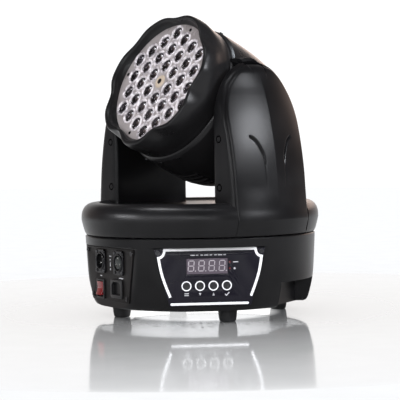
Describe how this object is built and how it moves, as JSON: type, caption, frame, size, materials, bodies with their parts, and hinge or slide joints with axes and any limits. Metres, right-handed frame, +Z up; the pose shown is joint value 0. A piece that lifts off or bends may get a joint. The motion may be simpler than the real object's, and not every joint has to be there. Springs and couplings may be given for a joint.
{
  "type": "moving head light",
  "caption": "Round-based stage wash light: a turntable with two arms pans and carries a head of small lenses that tilts on a cross axis.",
  "frame": {"origin": "on the floor under the pan axis, the middle of the base", "axes": "+Z up along the pan axis, the base's front faces -Y between its two flat faces, +X to the right"},
  "size_m": [0.31, 0.31, 0.3864],
  "materials": {
    "shell_plastic": "satin moulded ABS, black",
    "panel_gloss": "glossy printed polycarbonate, blue-black",
    "steel_plate": "zinc-plated sheet",
    "foot_rubber": "matt moulded rubber",
    "screw_steel": "blackened steel",
    "display_filter": "segment display with a lilac-grey face",
    "indicator_red": "tinted clear plastic",
    "circuit_board": "green glass-fibre board",
    "switch_body": "moulded nylon",
    "button_plastic": "satin plastic cap",
    "connector_plate_paint": "black powder coat",
    "connector_nickel": "black nickel on zinc",
    "contact_silver": "silver-plated contacts",
    "socket_plastic": "moulded nylon, black",
    "rocker_red": "red moulded plastic",
    "supply_case": "satin",
    "aluminium": "machined",
    "bearing_steel": "ground steel",
    "belt_rubber": "toothed rubber belt",
    "motor_black": "black stepper motor",
    "lens_plate_silver": "bright silver paint",
    "lens_clear": "clear moulded optic",
    "board_white": "white solder mask",
    "emitter": "LED die under silicone",
    "fan_plastic": "glass-filled nylon"
  },
  "bodies": {
    "base": {"base_shell": "shell_plastic", "base_plate": "steel_plate", "feet": "foot_rubber", "foot_screws": "screw_steel", "control_panel": "panel_gloss", "display_module": "display_filter", "indicator_leds": "indicator_red", "control_board": "circuit_board", "tact_switches": "switch_body", "connector_plate": "connector_plate_paint", "panel_screws": "screw_steel", "dmx_input": "connector_nickel", "dmx_output": "connector_nickel", "dmx_output_insert": "socket_plastic", "power_inlet": "socket_plastic", "contact_pins": "contact_silver", "switch_frame": "socket_plastic", "power_supply": "supply_case", "main_board": "circuit_board", "pan_spindle": "aluminium", "pan_pulley": "aluminium", "spindle_nut": "aluminium"},
    "menu_button": {"button_menu": "button_plastic"},
    "down_button": {"button_down": "button_plastic"},
    "up_button": {"button_up": "button_plastic"},
    "enter_button": {"button_enter": "button_plastic"},
    "rocker": {"power_rocker": "rocker_red"},
    "yoke": {"turntable_cover": "shell_plastic", "turntable_plate": "steel_plate", "upright_left": "steel_plate", "upright_right": "steel_plate", "arm_inner_left": "shell_plastic", "arm_inner_right": "shell_plastic", "arm_outer_left": "shell_plastic", "arm_outer_right": "shell_plastic", "arm_screws": "screw_steel", "pan_bearing": "bearing_steel", "pan_motor": "motor_black", "pan_belt": "belt_rubber", "tilt_motor": "motor_black", "tilt_motor_bracket": "steel_plate", "tilt_belt": "belt_rubber", "tilt_bearing_left": "bearing_steel", "tilt_bearing_right": "bearing_steel"},
    "pan_drive": {"pan_pinion": "aluminium"},
    "tilt_drive": {"tilt_pinion": "aluminium"},
    "head": {"front_shell": "shell_plastic", "rear_shell": "shell_plastic", "lens_plate": "lens_plate_silver", "lenses": "lens_clear", "led_board": "board_white", "led_emitters": "emitter", "heat_sink": "aluminium", "head_chassis": "steel_plate", "tilt_axle_left": "aluminium", "tilt_axle_right": "aluminium", "tilt_pulley": "aluminium", "fan_frame": "fan_plastic", "head_screws": "screw_steel"},
    "fan": {"fan_rotor": "fan_plastic"}
  },
  "joints": [
    {"name": "menu_press", "type": "slide", "parent": "base", "child": "menu_button", "axis": [-0.5329, 0.8462, 0], "range_m": [0, 0.0008], "stiffness_N_per_m": 800, "springref_m": -0.0006},
    {"name": "down_press", "type": "slide", "parent": "base", "child": "down_button", "axis": [-0.5329, 0.8462, 0], "range_m": [0, 0.0008], "stiffness_N_per_m": 800, "springref_m": -0.0006},
    {"name": "up_press", "type": "slide", "parent": "base", "child": "up_button", "axis": [-0.5329, 0.8462, 0], "range_m": [0, 0.0008], "stiffness_N_per_m": 800, "springref_m": -0.0006},
    {"name": "enter_press", "type": "slide", "parent": "base", "child": "enter_button", "axis": [-0.5329, 0.8462, 0], "range_m": [0, 0.0008], "stiffness_N_per_m": 800, "springref_m": -0.0006},
    {"name": "power_rock", "type": "hinge", "parent": "base", "child": "rocker", "pos_m": [-0.0907, -0.09899, 0.0385], "axis": [0.8462, -0.5329, 0], "range_deg": [0, 14]},
    {"name": "pan", "type": "hinge", "parent": "base", "child": "yoke", "pos_m": [0, 0, 0.135], "axis": [0, 0, 1], "range_deg": [-247.4, 292.6]},
    {"name": "tilt", "type": "hinge", "parent": "yoke", "child": "head", "pos_m": [0, 0, 0.2724], "axis": [0.9232, -0.3843, 0], "range_deg": [-199.8, 70.2]},
    {"name": "pan_pinion_spin", "type": "hinge", "parent": "yoke", "child": "pan_drive", "pos_m": [-0.11725, 0.04881, 0.115], "axis": [0, 0, 1], "range_deg": [-1640, 1387]},
    {"name": "tilt_pinion_spin", "type": "hinge", "parent": "yoke", "child": "tilt_drive", "pos_m": [0.10432, -0.04342, 0.18], "axis": [0.9232, -0.3843, 0], "range_deg": [-741, 261]},
    {"name": "fan_spin", "type": "hinge", "parent": "head", "child": "fan", "pos_m": [0, 0, 0.2724], "axis": [-0.3477, -0.8353, 0.4258], "continuous": true}
  ],
  "couplings": [
    {"joint": "pan_pinion_spin", "follows": "pan", "ratio": -5.6},
    {"joint": "tilt_pinion_spin", "follows": "tilt", "ratio": 3.7}
  ]
}
